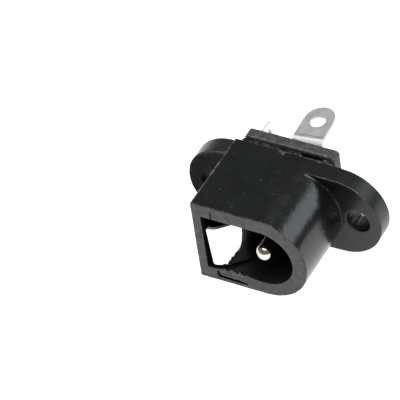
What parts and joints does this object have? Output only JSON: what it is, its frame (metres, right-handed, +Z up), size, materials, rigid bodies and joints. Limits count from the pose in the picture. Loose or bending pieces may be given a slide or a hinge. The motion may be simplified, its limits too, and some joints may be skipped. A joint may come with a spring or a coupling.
{
  "type": "dc barrel jack",
  "caption": "Panel-mount dc power socket: D-shaped black moulded body with a two-eared screw flange, a centre pin, a sleeve leaf spring and flat solder tags on a laminate board.",
  "frame": {"origin": "on the axis of the centre pin, in the plane of the flange face that meets the panel", "axes": "+Y from the open mating end towards the solder tags, +Z up, +X from the flat end of the D-shaped body to its round end; the socket lies on its long flat side at z = -5.5 mm"},
  "size_m": [0.0237, 0.0188, 0.0114],
  "materials": {
    "housing_plastic": "satin black moulded thermoplastic",
    "board_laminate": "black paper laminate with rough punched edges",
    "pin_metal": "turned brass, nickel plated and bright",
    "tag_metal": "punched sheet, tin plated and satin"
  },
  "bodies": {
    "root": {"housing": "housing_plastic", "terminal_board": "board_laminate", "centre_pin": "pin_metal", "centre_terminal": "tag_metal", "sleeve_spring": "tag_metal", "switch_contact": "tag_metal"}
  },
  "joints": []
}
